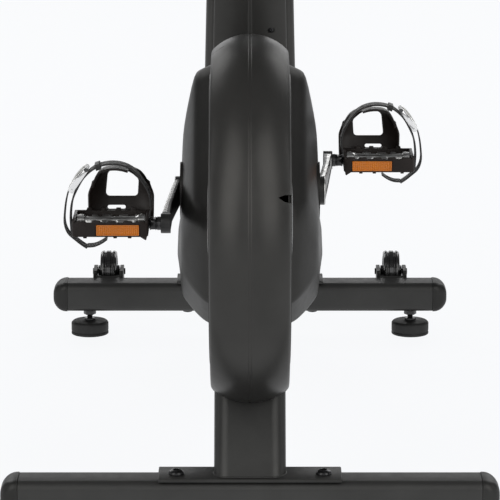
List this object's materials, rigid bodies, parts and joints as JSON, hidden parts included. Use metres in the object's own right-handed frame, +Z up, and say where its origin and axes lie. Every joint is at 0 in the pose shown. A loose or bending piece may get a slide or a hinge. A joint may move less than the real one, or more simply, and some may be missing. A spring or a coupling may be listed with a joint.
{
  "type": "exercise bike",
  "caption": "Upright exercise bike with a wheel-shaped rear flywheel housing, strapped pedals on a crank, an adjustable saddle and a forward mast with handlebar and console.",
  "frame": {"origin": "on the floor under the middle of the bounding box", "axes": "+Z up, +Y forward (the way the rider faces), +X to the rider's right"},
  "size_m": [0.555, 1.1234, 1.2023],
  "materials": {
    "frame_paint": "semi-gloss black powder coat",
    "casing_plastic": "satin black moulded plastic",
    "trim_plastic": "fine-textured black moulding",
    "foot_rubber": "matt black rubber and zinc stem",
    "wheel_plastic": "glossy black moulding",
    "bolt_black": "black oxide, oiled",
    "arm_metal": "satin silver edges with black faces",
    "pedal_metal": "die-cast satin",
    "bright_metal": "polished",
    "cage_plastic": "brownish-black moulded",
    "amber_lens": "clear amber prism lens",
    "strap_web": "woven webbing",
    "iron_grey": "machined and painted",
    "belt_rubber": "ribbed belt",
    "saddle_vinyl": "grained vinyl",
    "grip_foam": "closed-cell foam",
    "console_gloss": "smooth black"
  },
  "bodies": {
    "frame": {"bottom_bracket": "bright_metal", "console": "console_gloss", "crank_cover_left": "casing_plastic", "crank_cover_right": "casing_plastic", "drive_belt": "belt_rubber", "flywheel_axle": "bright_metal", "frame_plate_left": "frame_paint", "frame_plate_right": "frame_paint", "front_cap_left": "trim_plastic", "front_cap_right": "trim_plastic", "front_leg": "frame_paint", "front_stabiliser": "frame_paint", "handlebar_clamp": "trim_plastic", "housing_left": "casing_plastic", "housing_right": "casing_plastic", "mast_cover": "casing_plastic", "mast_tube": "frame_paint", "rear_bolt_left": "bolt_black", "rear_bolt_right": "bolt_black", "rear_cap_left": "trim_plastic", "rear_cap_right": "trim_plastic", "rear_leg": "frame_paint", "rear_stabiliser": "frame_paint", "seat_sleeve": "trim_plastic", "seat_tube": "frame_paint", "transport_bracket_left": "frame_paint", "transport_bracket_right": "frame_paint"},
    "crank": {"crank_pulley": "trim_plastic", "crank_spindle": "bright_metal", "crank_arm_left": "arm_metal", "crank_arm_right": "arm_metal", "pedal_axle_left": "bolt_black", "pedal_axle_right": "bolt_black"},
    "pedal_left": {"pedal_body_left": "pedal_metal", "pedal_cage_left": "cage_plastic", "reflector_left": "amber_lens", "toe_clip_left": "cage_plastic", "toe_strap_left": "strap_web"},
    "pedal_right": {"pedal_body_right": "pedal_metal", "pedal_cage_right": "cage_plastic", "reflector_right": "amber_lens", "toe_clip_right": "cage_plastic", "toe_strap_right": "strap_web"},
    "flywheel": {"flywheel": "iron_grey"},
    "brake": {"brake_shoe": "iron_grey"},
    "transport_wheel_left": {"transport_wheel_left": "wheel_plastic"},
    "transport_wheel_right": {"transport_wheel_right": "wheel_plastic"},
    "seat_post": {"seat_post": "bright_metal", "saddle_rail": "bright_metal"},
    "saddle": {"saddle_base": "trim_plastic", "saddle_cushion": "saddle_vinyl"},
    "seat_pin": {"seat_pin": "trim_plastic"},
    "handlebar": {"handlebar": "frame_paint", "grip_left": "grip_foam", "grip_right": "grip_foam"},
    "tension_knob": {"tension_knob": "trim_plastic"},
    "front_foot_left": {"front_foot_left": "foot_rubber"},
    "front_foot_right": {"front_foot_right": "foot_rubber"},
    "rear_foot_left": {"rear_foot_left": "foot_rubber"},
    "rear_foot_right": {"rear_foot_right": "foot_rubber"}
  },
  "joints": [
    {"name": "flywheel_spin", "type": "hinge", "parent": "frame", "child": "flywheel", "pos_m": [0, -0.352, 0.3445], "axis": [1, 0, 0], "continuous": true},
    {"name": "crank_spin", "type": "hinge", "parent": "frame", "child": "crank", "pos_m": [0, 0.043, 0.295], "axis": [1, 0, 0], "continuous": true},
    {"name": "pedal_left_spin", "type": "hinge", "parent": "crank", "child": "pedal_left", "pos_m": [0, -0.1219, 0.28924], "axis": [1, 0, 0], "continuous": true},
    {"name": "pedal_right_spin", "type": "hinge", "parent": "crank", "child": "pedal_right", "pos_m": [0, 0.2079, 0.30076], "axis": [1, 0, 0], "continuous": true},
    {"name": "brake_swing", "type": "hinge", "parent": "frame", "child": "brake", "pos_m": [0, -0.45789, 0.48004], "axis": [1, 0, 0], "range_deg": [0, 4]},
    {"name": "tension_turn", "type": "hinge", "parent": "frame", "child": "tension_knob", "pos_m": [0, 0.115, 0.45381], "axis": [0, 0, 1], "range_deg": [0, 270]},
    {"name": "transport_left_spin", "type": "hinge", "parent": "frame", "child": "transport_wheel_left", "pos_m": [-0.2, 0.533, 0.075], "axis": [1, 0, 0], "continuous": true},
    {"name": "transport_right_spin", "type": "hinge", "parent": "frame", "child": "transport_wheel_right", "pos_m": [0.2, 0.533, 0.075], "axis": [1, 0, 0], "continuous": true},
    {"name": "seat_height", "type": "slide", "parent": "frame", "child": "seat_post", "axis": [0, -0.33, 0.944], "range_m": [0, 0.14]},
    {"name": "seat_fore_aft", "type": "slide", "parent": "seat_post", "child": "saddle", "axis": [0, 1, 0], "range_m": [-0.04, 0.04]},
    {"name": "seat_pin_pull", "type": "slide", "parent": "frame", "child": "seat_pin", "axis": [0, 0.944, 0.33], "range_m": [0, 0.012], "stiffness_N_per_m": 600, "springref_m": -0.004},
    {"name": "handlebar_tilt", "type": "hinge", "parent": "frame", "child": "handlebar", "pos_m": [0, 0.34606, 1.07], "axis": [1, 0, 0], "range_deg": [-15, 15]},
    {"name": "front_foot_left_screw", "type": "slide", "parent": "frame", "child": "front_foot_left", "axis": [0, 0, -1], "range_m": [0, 0.012]},
    {"name": "front_foot_right_screw", "type": "slide", "parent": "frame", "child": "front_foot_right", "axis": [0, 0, -1], "range_m": [0, 0.012]},
    {"name": "rear_foot_left_screw", "type": "slide", "parent": "frame", "child": "rear_foot_left", "axis": [0, 0, -1], "range_m": [0, 0.012]},
    {"name": "rear_foot_right_screw", "type": "slide", "parent": "frame", "child": "rear_foot_right", "axis": [0, 0, -1], "range_m": [0, 0.012]}
  ],
  "couplings": [
    {"joint": "crank_spin", "follows": "flywheel_spin", "ratio": 0.175},
    {"joint": "brake_swing", "follows": "tension_turn", "ratio": 0.014815}
  ]
}
